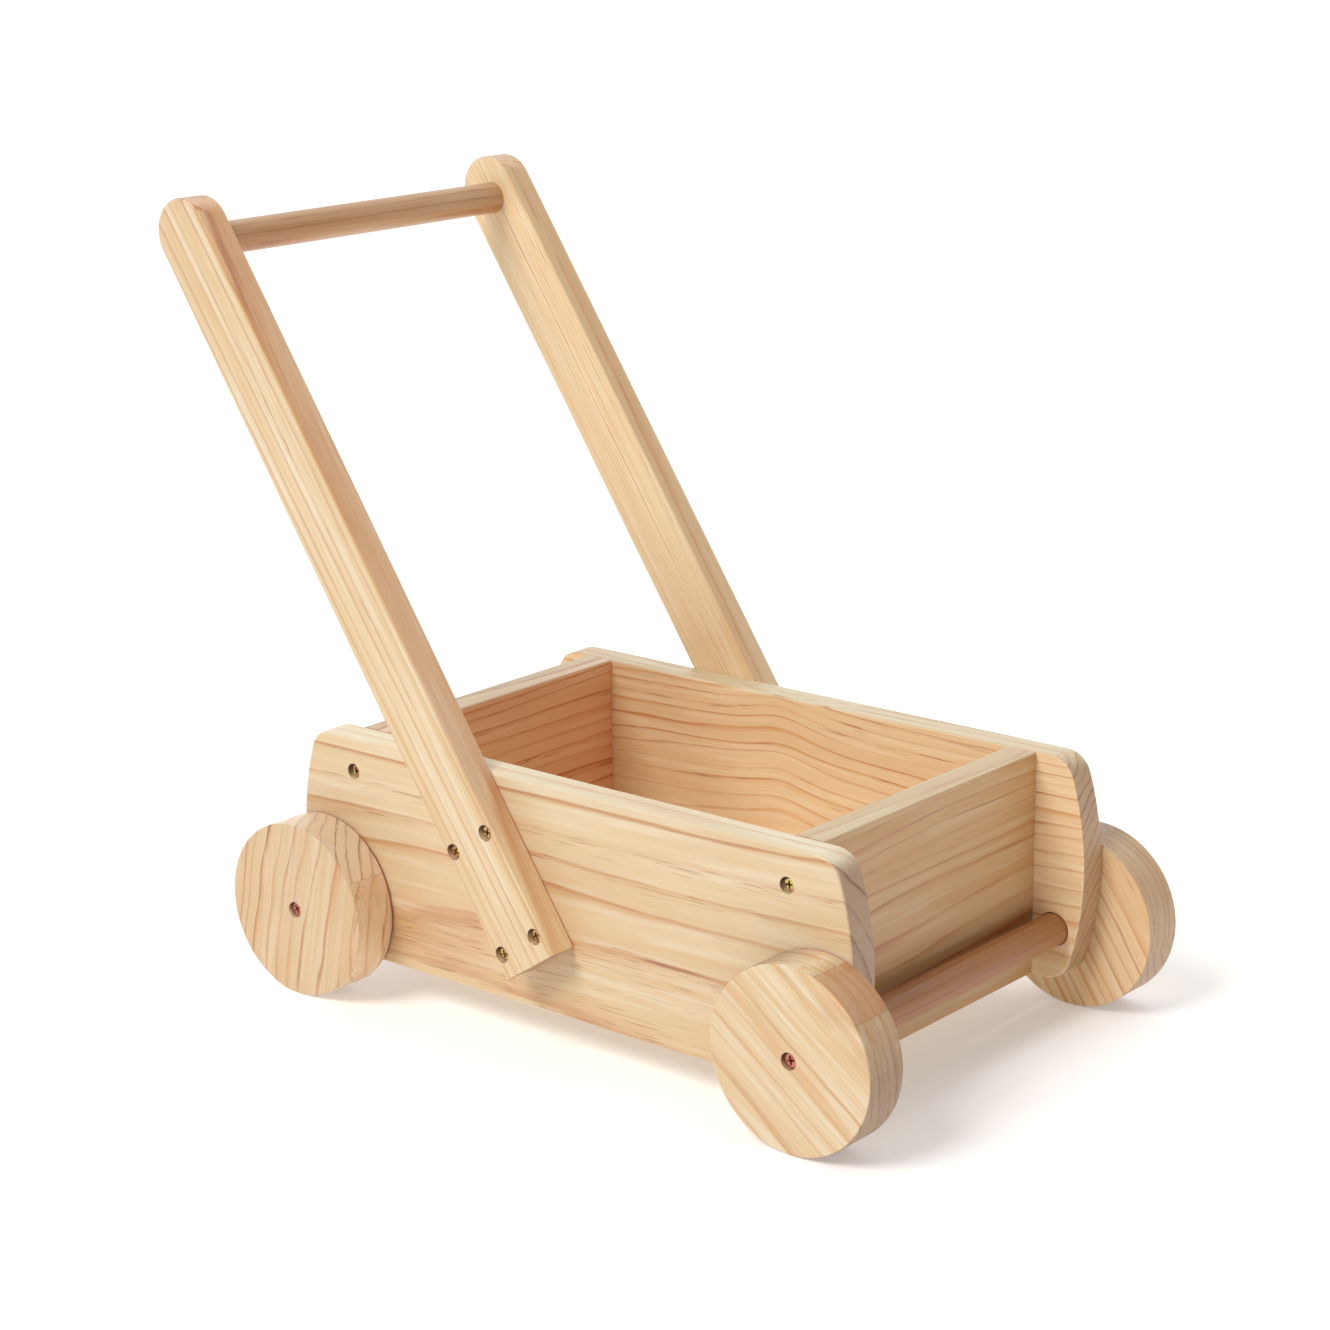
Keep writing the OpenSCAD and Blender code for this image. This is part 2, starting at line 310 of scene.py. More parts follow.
def ring_group():
    """A node group that is a pine log: rings round the W axis, of sharp late wood,
    with fibres and resin streaks along W. It takes a place in the log."""
    tree = bpy.data.node_groups.new("pine_log", "ShaderNodeTree")
    face = tree.interface
    face.new_socket("Place", in_out="INPUT", socket_type="NodeSocketVector")
    for name in ("Spacing", "Wobble", "Waves", "Unevenness", "Seed"):
        face.new_socket(name, in_out="INPUT", socket_type="NodeSocketFloat")
    for name in ("Early", "Tan", "Band", "Line", "Fibre", "Streak", "Tint"):
        face.new_socket(name, in_out="OUTPUT", socket_type="NodeSocketFloat")
    g = Graph(tree)
    given = g.node("NodeGroupInput").outputs
    u, v, w = g.separate(given["Place"])
    seed = given["Seed"]

    def stretched(across, along):
        """The place with each axis scaled, moved on by the seed."""
        return g.combine(
            g.math("MULTIPLY_ADD", u, across, seed),
            g.math("MULTIPLY_ADD", v, across, seed),
            g.math("MULTIPLY_ADD", w, along, seed),
        )

    # The log bends and bulges slowly along its length, and its rings waver
    bend = g.separate(g.noise(stretched(*BENDS), detail=1.5, out=1))
    shift = [g.math("MULTIPLY", g.math("SUBTRACT", b, 0.5), given["Wobble"]) for b in bend[:2]]
    bent_u = g.math("ADD", u, shift[0])
    bent_v = g.math("ADD", v, shift[1])
    radius = g.math("SQRT", g.math("ADD", g.math("MULTIPLY", bent_u, bent_u),
                                   g.math("MULTIPLY", bent_v, bent_v)))
    waver = g.math("SUBTRACT", g.noise(stretched(*WAVERS), detail=2.0), 0.5)
    waver = g.math("MULTIPLY", waver, given["Wobble"])
    radius = g.math("MULTIPLY_ADD", waver, 0.2, radius)
    waves = g.math("SUBTRACT", g.noise(stretched(*WAVES), detail=1.0), 0.5)
    radius = g.math("MULTIPLY_ADD", waves, given["Waves"], radius)
    phase = g.math("DIVIDE", radius, given["Spacing"])
    uneven = g.noise(g.combine(g.math("MULTIPLY", phase, WIDTH_CHANGES), seed, 0.5), detail=0.0)
    phase = g.math("MULTIPLY_ADD", uneven, given["Unevenness"], phase)
    frayed = g.math("SUBTRACT", g.noise(stretched(*FRAYS), detail=3.0, roughness=0.6), 0.5)
    phase = g.math("MULTIPLY_ADD", frayed, g.math("DIVIDE", RING_FRAY, given["Spacing"]), phase)
    ring = g.math("FLOOR", phase)
    across = g.math("FRACT", phase)

    # Each ring darkens towards its late wood, then turns pale at once. A thin line
    # marks its edge, strong in some rings and broken in others.
    chance = g.separate(g.random(g.math("ADD", ring, seed), out="Color"))
    strength = g.math("MULTIPLY_ADD", chance[1], 0.7, 0.3)
    width = g.noise(stretched(*BAND_WIDTHS), detail=2.0)
    start = g.math("MULTIPLY_ADD", chance[0], 0.35, g.step(width, 0.3, 0.7, 0.2, 0.6))
    rise = g.step(across, start, 1.0)
    fall = g.step(across, 0.95, 1.0, 1.0, 0.0)
    band = g.math("MULTIPLY", g.math("MULTIPLY", rise, fall), strength)
    grainy = g.noise(stretched(*BAND_GRAIN), detail=3.0, roughness=0.6)
    band = g.math("MULTIPLY", band, g.step(grainy, 0.25, 0.7, 0.55, 1.35))
    line = g.math("MULTIPLY", g.step(across, 0.80, 0.92), g.step(across, 0.93, 1.0, 1.0, 0.0))
    broken = g.step(g.noise(stretched(*BREAKS), detail=2.0), 0.35, 0.65, 0.15, 1.0)
    line = g.math("MULTIPLY", g.math("MULTIPLY", line, broken), strength)
    wisps = g.noise(stretched(*WISPS), detail=3.0, roughness=0.6)
    early = g.step(wisps, 0.44, 0.66)
    tan = g.step(g.noise(stretched(*TANS), detail=3.0, roughness=0.65), 0.48, 0.66)

    fibre = g.noise(stretched(*FIBRES), detail=3.0, roughness=0.65)
    dash = g.step(g.noise(stretched(*DASHES), detail=2.0), 0.57, 0.68)
    dark_side = g.math("ADD", g.step(across, 0.35, 0.9), 0.2)
    streak = g.math("MULTIPLY", g.math("MULTIPLY", dash, dark_side), chance[2])
    tint = g.noise(stretched(*TINTS), detail=2.0)

    result = g.node("NodeGroupOutput")
    made = dict(Early=early, Tan=tan, Band=band, Line=line, Fibre=fibre, Streak=streak, Tint=tint)
    for name, value in made.items():
        g.feed(result.inputs[name], value)
    return tree


PINE_LOG = ring_group()


def pine(name, grain, face, centre, pith, spacing, wobble, seed, waves=0.001, uneven=0.8,
         contrast=1.0, warmth=0.5, streaky=0.3, shade=(1, 1, 1), end_colour=END_GRAIN,
         end_contrast=1.0, side_light_and_shade=None, side_fade=None, inner_face_shade=None, marks=(),
         swell=None, glued=None, gap_shade_at=None, screws=None):
    """Pine whose fibres run along grain. face is the normal of the board's wide
    side, and pith is where the log's heart lies from the board's centre: along the
    wide side, and behind it. The rest sets one board apart from another:
    spacing of the rings, wobble over the whole board and waves over a few
    centimetres, uneven ring widths, contrast of the late wood, warmth of its
    reddish parts, and streaky tan wood;
    shade and end_colour tone the board and its ends, and end_contrast is the strength
    of the rings on its ends; side_light_and_shade is painted light and shade on the narrow
    sides, for the sheen, top light and bounce light that fall on them; side_fade is
    another such painted light on the narrow sides before one place along the grain,
    which fades out by the next;
    inner_face_shade is painted shade with warm bounce light on the half of the thickness
    on the depth axis' positive side, the inner face of a board inside the box;
    marks are resin streaks, and swell is a place where the rings bow out;
    glued is a joint beyond which it is another board;
    seam is the place on the depth axis of the face that lies against a part,
    beside which a thin line of painted shade stands for the shadow in the gap;
    screws are the places and the pocket's radius of the screws sunk in it, whose
    pockets get painted shade, darkest at their top."""
    material = bpy.data.materials.new(name)
    material.use_nodes = True
    tree = material.node_tree
    tree.nodes.clear()
    g = Graph(tree)
    grain = Vector(grain).normalized()
    side = Vector(face).cross(grain).normalized()
    depth = grain.cross(side).normalized()
    where = g.node("ShaderNodeTexCoord")
    place = g.vector("SUBTRACT", where.outputs["Object"], Vector(centre))
    u, v, w = (g.vector("DOT_PRODUCT", place, axis, out="Value") for axis in (side, depth, grain))
    board_u, board_v, board_w = u, v, w
    if swell:
        u = g.math("SUBTRACT", u, bow(g, w, **swell))
    number = seed
    if glued:
        side_of_joint = math.copysign(1.0, glued["at"])
        over = g.math("MULTIPLY_ADD", u, side_of_joint, -abs(glued["at"]))
        beyond = g.math("GREATER_THAN", over, 0.0)
        joint = g.step(g.math("ABSOLUTE", over), *JOINT_FADE, 1.0, 0.0)
        u = g.math("MULTIPLY_ADD", beyond, OTHER_SIDE, u)
        v = g.math("MULTIPLY_ADD", beyond, OTHER_DEPTH, v)
        number = g.math("MULTIPLY_ADD", beyond, OTHER_SEED, seed)
    log = g.node("ShaderNodeGroup")
    log.node_tree = PINE_LOG
    from_pith = g.combine(g.math("SUBTRACT", u, pith[0]), g.math("ADD", v, pith[1]), w)
    g.feed(log.inputs["Place"], from_pith)
    g.feed(log.inputs["Spacing"], spacing)
    g.feed(log.inputs["Wobble"], wobble)
    g.feed(log.inputs["Waves"], waves)
    g.feed(log.inputs["Unevenness"], uneven)
    g.feed(log.inputs["Seed"], number)

    # Colour: early wood to late wood, in a slowly changing warmth, with the rings'
    # lines, darker fibres and short resin streaks
    band = g.math("MULTIPLY", log.outputs["Band"], contrast, clamp=True)
    early = g.math("MULTIPLY", log.outputs["Early"], EARLY_AMOUNT + STREAKY_EARLY_AMOUNT * streaky)
    colour = g.mix(early, PALE, EARLY)
    colour = g.mix(g.math("MULTIPLY", log.outputs["Tan"], streaky), colour, TAN)
    colour = g.mix(band, colour, LATE)
    warm = g.math("MULTIPLY", g.step(log.outputs["Tint"], 0.35, 0.75), warmth)
    colour = g.mix(warm, colour, WARM, blend="MULTIPLY")
    line = g.math("MULTIPLY", log.outputs["Line"], LINE_AMOUNT * contrast, clamp=True)
    colour = g.mix(line, colour, RING_LINE)
    fibre = g.step(log.outputs["Fibre"], 0.35, 0.75, 0.0, 1.0)
    colour = g.mix(g.math("MULTIPLY", fibre, FIBRE_AMOUNT), colour, LATE)
    dashes = g.math("MULTIPLY", log.outputs["Streak"], DASH_AMOUNT * contrast)
    colour = g.mix(dashes, colour, STREAK)
    for mark in marks:
        colour = g.mix(resin_mark(g, board_u, board_w, **mark), colour, STREAK)

    # End grain is greyer and takes the rings more strongly
    normal = g.vector("DOT_PRODUCT", where.outputs["Normal"], grain, out="Value")
    end = g.step(g.math("ABSOLUTE", normal), *END_FACING)
    rings = g.math("ADD", g.math("MULTIPLY", band, END_BAND_AMOUNT),
                   g.math("MULTIPLY", line, END_LINE_AMOUNT))
    end_wood = g.mix(g.math("MULTIPLY", rings, end_contrast), end_colour, END_LINE)
    colour = g.mix(g.math("MULTIPLY", end, END_AMOUNT), colour, end_wood)
    # Painted light and shade on the narrow sides: paler for the sheen and top light on top edges,
    # darker or warmer where shade and bounce light fall
    if side_light_and_shade:
        sideways = g.vector("DOT_PRODUCT", where.outputs["Normal"], side, out="Value")
        sideways = g.step(g.math("ABSOLUTE", sideways), *SIDE_FACING)
        side_light_tone = (*side_light_and_shade, 1)
        if side_fade:
            faded = g.step(board_w, side_fade["start"], side_fade["end"])
            side_light_tone = g.mix(faded, (*side_fade["shade"], 1), side_light_tone)
        colour = g.mix(sideways, colour, side_light_tone, blend="MULTIPLY")
    # Painted shade: the half of the board towards its inner face is darker and warmer, as it lies in
    # the box's shade
    if inner_face_shade:
        inner_half = g.step(board_v, -INNER_SHADE_FADE, INNER_SHADE_FADE)
        colour = g.mix(inner_half, colour, (*inner_face_shade, 1), blend="MULTIPLY")
    if glued:
        colour = g.mix(beyond, colour, (*glued["shade"], 1), blend="MULTIPLY")
        colour = g.mix(g.math("MULTIPLY", joint, JOINT_AMOUNT), colour, STREAK)
    colour = g.mix(1.0, colour, (*shade, 1), blend="MULTIPLY")
    # Painted shade: a thin dark line beside the face that lies against a panel, for the shadow in the
    # gap
    if gap_shade_at:
        nearness = g.math("ABSOLUTE", g.math("SUBTRACT", board_v, gap_shade_at))
        gap_shade = g.math("MULTIPLY", g.step(nearness, *GAP_SHADE_FROM),
                      g.step(nearness, *GAP_SHADE_TO, GAP_SHADE_AMOUNT, 0.0))
        gap_shade = g.math("MULTIPLY", gap_shade, beside_panel(g, where.outputs["Object"]))
        colour = g.mix(gap_shade, colour, GAP_SHADE_COLOUR)
    # Painted shade in the screws' pockets, darkest at their top
    if screws:
        colour = g.mix(pocket_shade(g, where.outputs["Object"], *screws), colour, POCKET_SHADE_COLOUR)

    shader = g.node("ShaderNodeBsdfPrincipled")
    g.feed(shader.inputs["Base Color"], colour)
    oiled = g.step(fibre, 0.0, 1.0, *WOOD_ROUGHNESS)
    roughness = g.math("MULTIPLY_ADD", band, -LATE_SMOOTHER, oiled)
    g.feed(shader.inputs["Roughness"], roughness)
    shader.inputs["Coat Weight"].default_value = OIL_WEIGHT
    shader.inputs["Coat Roughness"].default_value = OIL_ROUGHNESS
    fibres = g.math("MULTIPLY", log.outputs["Fibre"], FIBRE_HEIGHT)
    height = g.math("MULTIPLY_ADD", band, LATE_HEIGHT, fibres)
    bump = g.node("ShaderNodeBump")
    bump.inputs["Strength"].default_value = GRAIN_BUMP
    bump.inputs["Distance"].default_value = GRAIN_HEIGHT
    g.feed(bump.inputs["Height"], height)
    g.feed(shader.inputs["Normal"], bump.outputs[0])
    output = g.node("ShaderNodeOutputMaterial")
    g.feed(output.inputs["Surface"], shader.outputs[0])
    return material


def beside_panel(g, place):
    """1 within the side panels' outline box, where parts lie against them."""
    x, _, z = g.separate(place)
    inside = [g.math("GREATER_THAN", x, panel_low.x), g.math("LESS_THAN", x, panel_high.x),
              g.math("GREATER_THAN", z, panel_low.z), g.math("LESS_THAN", z, panel_high.z)]
    return g.math("MULTIPLY", g.math("MULTIPLY", inside[0], inside[1]),
                  g.math("MULTIPLY", inside[2], inside[3]))


def pocket_shade(g, place, screw_points, radius):
    """How strong the painted shade in the screws' pockets is within radius of the
    screws, which all lie along Y. It is darkest above each screw, where the
    pocket's wall is turned away from the light."""
    inside = 0.0
    for x, _, z in screw_points:
        offset = g.vector("MULTIPLY", g.vector("SUBTRACT", place, (x, 0, z)), (1, 0, 1))
        distance = g.vector("LENGTH", offset, out="Value")
        shade_by_height = g.step(g.separate(offset)[2], -0.5 * radius, 0.5 * radius, *POCKET_SHADE_STRENGTHS)
        near = g.step(distance, radius, radius + POCKET_FADE, 1.0, 0.0)
        shaded = g.math("MULTIPLY", near, shade_by_height)
        inside = g.math("MAXIMUM", shaded, inside)
    return inside


def resin_mark(g, u, w, at, length, width, strength):
    """A dark resin streak on a board: a thin spindle along the grain at (along, across)."""
    along = g.math("DIVIDE", g.math("SUBTRACT", w, at[0]), length / 2)
    ragged = g.noise(g.combine(g.math("MULTIPLY", u, RAGS[0]), g.math("MULTIPLY", w, RAGS[1]), 0.0))
    across = g.math("DIVIDE", g.math("SUBTRACT", u, at[1]), width / 2)
    reach = g.math("ADD", g.math("MULTIPLY", along, along), g.math("MULTIPLY", across, across))
    reach = g.math("ADD", reach, g.math("MULTIPLY_ADD", ragged, RAG_DEPTH, -RAG_DEPTH / 2))
    return g.step(reach, 0.0, 1.0, strength, 0.0)


def bow(g, w, at, length, height):
    """How far the rings bow out where they pass a hidden branch."""
    along = g.math("DIVIDE", g.math("SUBTRACT", w, at), length)
    return g.math("DIVIDE", height, g.math("MULTIPLY_ADD", along, along, 1.0))


# ---- Meshes ----

def link(name, mesh):
    piece = bpy.data.objects.new(name, mesh)
    bpy.context.scene.collection.objects.link(piece)
    return piece


def from_bmesh(name, bm):
    bmesh.ops.recalc_face_normals(bm, faces=bm.faces)
    mesh = bpy.data.meshes.new(name)
    bm.to_mesh(mesh)
    bm.free()
    return mesh


def bake_modifiers(piece):
    """Applies the piece's modifiers to its mesh."""
    graph = bpy.context.evaluated_depsgraph_get()
    mesh = bpy.data.meshes.new_from_object(piece.evaluated_get(graph))
    piece.modifiers.clear()
    piece.data = mesh


def cut(piece, cutters):
    """Cuts the closed meshes cutters out of the piece."""
    for mesh in cutters:
        cutter = link("cutter", mesh)
        modifier = piece.modifiers.new("cut", "BOOLEAN")
        modifier.operation = "DIFFERENCE"
        modifier.solver = "EXACT"
        modifier.object = cutter
        bake_modifiers(piece)
        bpy.data.objects.remove(cutter)


def smooth(piece):
    """Smooth shading over rounded edges, with the flat faces kept flat."""
    piece.data.shade_smooth()
    piece.data.set_sharp_from_angle(angle=SMOOTH_BELOW)
    modifier = piece.modifiers.new("normals", "WEIGHTED_NORMAL")
    modifier.keep_sharp = True
    modifier.weight = 100


def arc(centre, radius, start, end, steps):
    """Points on an arc, with its angles in radians from the first axis to the second."""
    angles = [start + (end - start) * i / steps for i in range(steps + 1)]
    return [(centre[0] + radius * math.cos(a), centre[1] + radius * math.sin(a)) for a in angles]


def round_edges(bm, edges, radius, steps=EDGE_STEPS):
    bmesh.ops.bevel(bm, geom=edges, offset=radius, segments=steps, profile=0.5, affect="EDGES")


def board(name, outline, y0, y1, rim_r, corner_r=0.0, back_r=None, sawn_end=False, matrix=None):
    """A board with an outline in X and Z, from y0 to y1. corner_r rounds the sharp
    corners of the outline, rim_r the edges round its face at y0 and back_r those at
    y1. A sawn end is one at Z = 0 that was cut off after the edges were rounded."""
    bm = bmesh.new()
    rings = [[bm.verts.new((x, y, z)) for x, z in outline] for y in (y0, y1)]
    bm.faces.new(rings[0])
    bm.faces.new(list(reversed(rings[1])))
    for i in range(len(outline)):
        j = (i + 1) % len(outline)
        bm.faces.new((rings[0][j], rings[0][i], rings[1][i], rings[1][j]))
    bm.normal_update()
    if corner_r:
        across = [e for e in bm.edges if abs(e.verts[0].co.y - e.verts[1].co.y) > TOUCH]
        round_edges(bm, [e for e in across if e.calc_face_angle() > CORNER_ABOVE], corner_r)
    for y, radius in ((y0, rim_r), (y1, back_r or rim_r)):
        rim = [e for e in bm.edges if max(abs(v.co.y - y) for v in e.verts) < TOUCH]
        if sawn_end:
            rim = [e for e in rim if max(v.co.z for v in e.verts) > TOUCH]
        round_edges(bm, rim, radius)
    if sawn_end:
        sawn = [e for e in bm.edges if max(v.co.z for v in e.verts) < TOUCH]
        round_edges(bm, sawn, SAWN_EDGE_R, steps=2)
    if matrix:
        bm.transform(matrix)
    return link(name, from_bmesh(name, bm))


def lathe(name, profile, matrix, steps=ROUND_STEPS):
    """Turns a profile of (radius, height) points round Z. Points on the axis close
    it; without them the profile is a closed loop round a hole."""
    bm = bmesh.new()
    turns = [math.tau * i / steps for i in range(steps)]
    rings = []
    for radius, height in profile:
        points = [(radius * math.cos(a), radius * math.sin(a), height) for a in turns]
        if radius < TOUCH:
            points = [(0, 0, height)]
        rings.append([bm.verts.new(point) for point in points])
    pairs = list(zip(rings, rings[1:]))
    if len(rings[0]) > 1:
        pairs.append((rings[-1], rings[0]))
    for low, high in pairs:
        for i in range(steps):
            j = (i + 1) % steps
            corners = [low[i % len(low)], low[j % len(low)], high[j % len(high)], high[i % len(high)]]
            bm.faces.new(list(dict.fromkeys(corners)))
    bm.transform(matrix)
    return from_bmesh(name, bm)


def facing_right(x, y, z, turn=0.0):
    """Places a lathed shape with its +Z out of the right side, at a point."""
    upright = Matrix.Rotation(math.pi / 2, 4, "X")
    return Matrix.Translation((x, y, z)) @ upright @ Matrix.Rotation(turn, 4, "Z")


def mirrored(mesh, name):
    """A copy of a mesh on the truck's other side."""
    copy = mesh.copy()
    copy.name = name
    copy.transform(Matrix.Scale(-1, 4, (0, 1, 0)))
    copy.flip_normals()
    return copy


def finish_piece(piece, body, node, material):
    """Gives a piece its material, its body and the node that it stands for."""
    piece.data.materials.clear()
    piece.data.materials.append(material)
    smooth(piece)
    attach(piece, body)
    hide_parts(node)


# ---- The frame's places ----

panel_low, panel_high = (Vector(c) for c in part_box("right_side_panel"))
front_low, front_high = (Vector(c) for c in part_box("front_panel"))
rear_low, rear_high = (Vector(c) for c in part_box("rear_panel"))
arm_low, arm_high = (Vector(c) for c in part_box("right_handle_arm"))
bar_low, bar_high = (Vector(c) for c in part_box("handle_bar"))
wheel_low, wheel_high = (Vector(c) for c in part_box("front_right_wheel"))
floor_low, floor_high = (Vector(c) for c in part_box("floor_panel"))
axle_low, axle_high = (Vector(c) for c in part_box("front_axle"))

outer_y = panel_low.y
inner_y = panel_high.y
board_t = inner_y - outer_y
panel_mid = (panel_low + panel_high) / 2
axles = {j["child"]: Vector(j["pos_m"]) for j in frame["joints"]}

foot = Vector((
    arm_high.x - ARM_W / 2 * math.cos(ARM_LEAN), outer_y, arm_low.z + ARM_W / 2 * math.sin(ARM_LEAN)
))
tip = Vector((arm_low.x + ARM_W / 2, outer_y, arm_high.z - ARM_W / 2))
arm_reach = (tip - foot).length
arm_matrix = Matrix.Translation(foot) @ Matrix.Rotation(-ARM_LEAN, 4, "Y")
bar_mid = (bar_low + bar_high) / 2
bar_r = (bar_high.z - bar_low.z) / 2


def screw_places(kind, node):
    """Where the heads of a corner's two screws are: from the box that they fill."""
    low, high = (Vector(c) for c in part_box(node))
    head = kind["head"] * MM
    x = (low.x + high.x) / 2
    return [(x, outer_y + kind["sink"] * MM, z) for z in (low.z + head, high.z - head)]


arm_screw_places = [
    tuple(arm_matrix @ Vector((side, -board_t + ARM_SCREW["sink"] * MM, up)))
    for side in (-ARM_SCREW_SIDE, ARM_SCREW_SIDE) for up in ARM_SCREW_HEIGHTS
]
front_screw_places = screw_places(CORNER_SCREW, "front_right_corner_screws")
rear_screw_places = screw_places(CORNER_SCREW, "rear_right_corner_screws")


def pocket(kind, place):
    """A cutter for a screw's hole, with a softened lip. Its head's top is at place."""
    sizes = ("head", "pocket", "shank", "sink", "length")
    head, wide, shank, sink, length = (kind[size] * MM for size in sizes)
    bore = shank + GLUE_GAP
    clear = sink + 2 * CUT_SPARE
    lip = [(wide + LIP_R * (1 - math.sin(a)), sink - LIP_R * (1 - math.cos(a)))
           for a in POCKET_SLOPES]
    profile = [(0, clear), (wide + LIP_R, clear), *lip, (wide, -HEAD_RIM), (head, -HEAD_RIM),
               (bore, -HEAD_RIM - head + shank), (bore, 2 * shank - length), (0, -length)]
    return lathe("pocket", profile, facing_right(*place), steps=SCREW_STEPS)


def hole(radius, place, length):
    """A cutter for a round hole from place outwards over length on the right side,
    or inwards where length is negative."""
    return lathe("hole", [(0, 0), (radius, 0), (radius, length), (0, length)], facing_right(*place))


def groove():
    """A cutter for the grooves that hold the floor."""
    bm = bmesh.new()
    bmesh.ops.create_cube(bm, size=1)
    size = floor_high - floor_low + Vector((2 * GROOVE_GAP, 2 * GROOVE_GAP, GROOVE_GAP))
    middle = (floor_low + floor_high) / 2 + Vector((0, 0, GROOVE_GAP / 2))
    bm.transform(Matrix.Translation(middle) @ Matrix.Diagonal((*size, 1)))
    return from_bmesh("groove", bm)


# ---- Panels ----

def side_outline():
    """The side panel's outline: shallow bowed ends, and corners that blend into them."""
    half_l = (panel_high.x - panel_low.x) / 2
    half_h = (panel_high.z - panel_low.z) / 2
    bow_x = half_l - END_CURVE_R
    corner_z = half_h - CORNER_R
    corner_x = bow_x + math.sqrt((END_CURVE_R - CORNER_R) ** 2 - corner_z ** 2)
    touch = math.atan2(corner_z, corner_x - bow_x)
    right = arc((corner_x, -corner_z), CORNER_R, -math.pi / 2, -touch, ARC_STEPS)
    right += arc((bow_x, 0), END_CURVE_R, -touch, touch, ARC_STEPS)[1:-1]
    right += arc((corner_x, corner_z), CORNER_R, touch, math.pi / 2, ARC_STEPS)
    points = right + [(-x, -z) for x, z in right]
    return [(panel_mid.x + x, panel_mid.z + z) for x, z in points]


def make_side_panels():
    right = board("right_side_panel_wood", side_outline(), outer_y, inner_y, PANEL_EDGE_R,
                  back_r=PANEL_INNER_EDGE_R)
    axle_holes = [hole(AXLE_HOLE_R, (p.x, inner_y + CUT_SPARE, p.z), board_t + 2 * CUT_SPARE)
                  for p in axles.values()]
    pockets = [pocket(CORNER_SCREW, p) for p in front_screw_places + rear_screw_places]
    pockets += [pocket(ARM_SCREW, p) for p in arm_screw_places]
    cut(right, axle_holes + pockets + [groove()])
    left = link("left_side_panel_wood", mirrored(right.data, "left_side_panel_wood"))
    corner_pockets = (front_screw_places + rear_screw_places, CORNER_SCREW["pocket"] * MM)
    near = pine("pine_right_side", (1, 0, 0.014), (0, -1, 0), panel_mid, (-0.040, -0.098),
                10.4 * MM, 0.016, 3.1, uneven=0.5, warmth=0.45, shade=(0.88, 0.89, 0.865),
                end_colour=srgb(178, 140, 109), end_contrast=1.9, side_light_and_shade=(1.04, 1.16, 1.28),
                marks=[dict(at=(0.074, -0.018), length=0.058, width=0.0026, strength=0.8)],
                screws=corner_pockets)
    far_mid = Vector((panel_mid.x, -panel_mid.y, panel_mid.z))
    far = pine("pine_left_side", (1, 0, -0.01), (0, -1, 0), far_mid, (-0.060, 0.060), 5.2 * MM,
               0.030, 8.4, uneven=0.8, contrast=1.1, warmth=0.4, shade=(1.11, 1.09, 1.04),
               side_light_and_shade=(0.71, 0.78, 0.80), end_colour=srgb(168, 132, 100),
               end_contrast=1.7,
               swell=dict(at=-0.015, length=0.028, height=0.008), screws=corner_pockets)
    finish_piece(right, "truck", "right_side_panel", near)
    finish_piece(left, "truck", "left_side_panel", far)


def make_end_panel(name, low, high, places, material):
    outline = [(low.x, low.z), (high.x, low.z), (high.x, high.z), (low.x, high.z)]
    piece = board(name + "_wood", outline, low.y, high.y, BUTT_EDGE_R, END_PANEL_EDGE_R)
    right = [pocket(CORNER_SCREW, p) for p in places]
    cut(piece, right + [mirrored(m, "pocket") for m in right] + [groove()])
    finish_piece(piece, "truck", name, material)


def make_end_panels():
    front = pine("pine_front", (0, 1, 0.02), (1, 0, 0), (front_low + front_high) / 2,
                 (-0.055, 0.045), 6.5 * MM, 0.03, 5.7, uneven=1.2, warmth=0.0,
                 contrast=1.2, streaky=0.7, shade=FRONT_SHADE, side_light_and_shade=(0.97, 1.20, 1.42))
    make_end_panel("front_panel", front_low, front_high, front_screw_places, front)
    rear = pine("pine_rear", (0, 1, 0.0), (1, 0, 0), (rear_low + rear_high) / 2, (-0.10, 0.04),
                7.5 * MM, 0.03, 12.9, uneven=1.3, warmth=0.4, contrast=1.5, shade=REAR_SHADE,
                side_light_and_shade=(0.74, 0.89, 0.91), inner_face_shade=REAR_INNER_SHADE)
    make_end_panel("rear_panel", rear_low, rear_high, rear_screw_places, rear)


def make_floor():
    outline = [(floor_low.x, floor_low.z), (floor_high.x, floor_low.z),
               (floor_high.x, floor_high.z), (floor_low.x, floor_high.z)]
    piece = board("floor_panel_wood", outline, floor_low.y, floor_high.y, BUTT_EDGE_R, BUTT_EDGE_R)
    veneer = pine("plywood_veneer", (1, 0, 0), (0, 0, 1), (floor_low + floor_high) / 2, (0.01, 0.012),
                  3.4 * MM, 0.05, 21.3, contrast=0.4, warmth=0.1, shade=(1.12, 1.17, 1.25))
    finish_piece(piece, "truck", "floor_panel", veneer)


# ---- Handle ----

